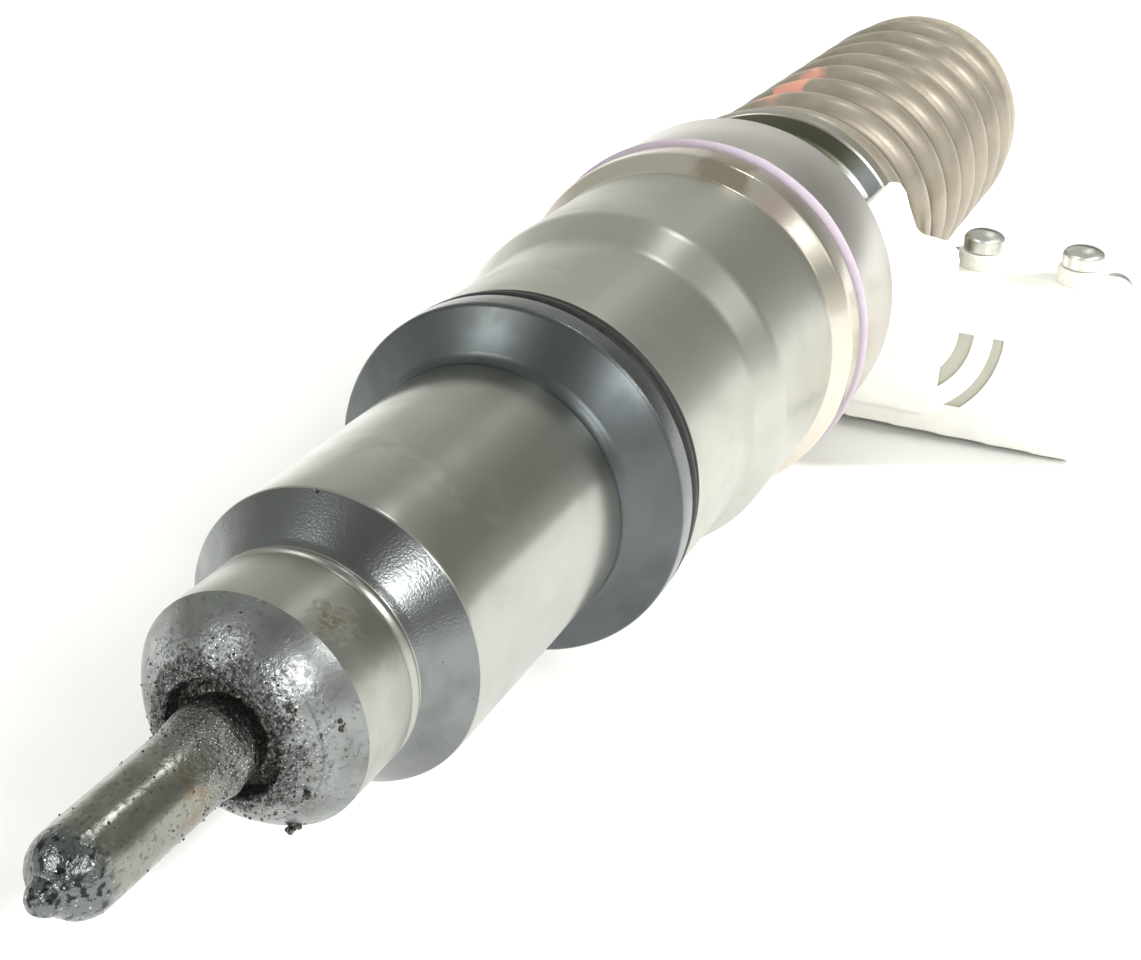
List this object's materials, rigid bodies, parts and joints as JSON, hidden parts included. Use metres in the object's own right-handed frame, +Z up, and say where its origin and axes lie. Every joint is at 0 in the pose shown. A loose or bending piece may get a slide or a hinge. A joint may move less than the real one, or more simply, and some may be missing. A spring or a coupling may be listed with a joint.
{
  "type": "unit fuel injector",
  "caption": "Mechanically driven electronic unit injector with stepped body, long cap nut, slim nozzle tip, exposed return spring and side solenoid arm.",
  "frame": {"origin": "on the injector's axis, at the front face of the locating flange of the cap nut", "axes": "+X along the injector's axis from the nozzle tip to the tappet, +Z up, the solenoid arm towards -Y, lying on its side"},
  "size_m": [0.2431, 0.07, 0.0447],
  "materials": {
    "nozzle_steel": "sooty, dark, partly glossy",
    "nut_steel": "satin turned steel",
    "body_steel": "satin ground steel with a heat-tinted band",
    "ground_steel": "ground",
    "tappet_steel": "dark oiled",
    "spring_steel": "oiled phosphate",
    "black_rubber": "satin",
    "violet_rubber": "satin",
    "filter_mesh": "woven",
    "core_iron": "dark",
    "stack_metal": "bright satin",
    "copper_winding": "enamelled",
    "screw_steel": "bright",
    "insulator_plastic": "matte"
  },
  "bodies": {
    "root": {"nozzle_body": "nozzle_steel", "needle_stop_plate": "ground_steel", "nozzle_spring": "spring_steel", "pressure_shim": "ground_steel", "spring_cage": "ground_steel", "adaptor_plate": "ground_steel", "dowel_pins": "ground_steel", "nozzle_cap_nut": "nut_steel", "lower_o_ring": "black_rubber", "upper_o_ring": "violet_rubber", "injector_body": "body_steel", "inlet_filters": "filter_mesh", "gallery_plugs": "ground_steel", "plunger_return_spring": "spring_steel", "tappet_stop_pin": "ground_steel", "valve_spring": "spring_steel", "armature_spacer": "stack_metal", "spacer_seals": "black_rubber", "stator_housing": "stack_metal", "stator_core": "core_iron", "stator_coil": "copper_winding", "clamp_plate": "stack_metal", "stator_screws": "screw_steel", "terminal_insulators": "insulator_plastic", "terminal_screws": "screw_steel"},
    "plunger_drive": {"plunger": "ground_steel", "tappet": "tappet_steel", "plunger_keeper": "tappet_steel", "tappet_pad": "ground_steel"},
    "needle": {"nozzle_needle": "ground_steel", "needle_spring_seat": "ground_steel"},
    "valve": {"control_valve": "ground_steel", "armature": "core_iron", "armature_screw": "ground_steel"}
  },
  "joints": [
    {"name": "plunger_stroke", "type": "slide", "parent": "root", "child": "plunger_drive", "axis": [-1, 0, 0], "range_m": [0, 0.016], "stiffness_N_per_m": 1500, "springref_m": -0.001, "deforming": ["plunger_return_spring"]},
    {"name": "needle_lift", "type": "slide", "parent": "root", "child": "needle", "axis": [1, 0, 0], "range_m": [0, 0.0003], "stiffness_N_per_m": 50, "springref_m": -0.00005, "deforming": ["nozzle_spring"]},
    {"name": "control_valve_stroke", "type": "slide", "parent": "root", "child": "valve", "axis": [1, 0, 0], "range_m": [0, 0.0002], "stiffness_N_per_m": 50, "springref_m": -0.00005, "deforming": ["valve_spring"]}
  ]
}
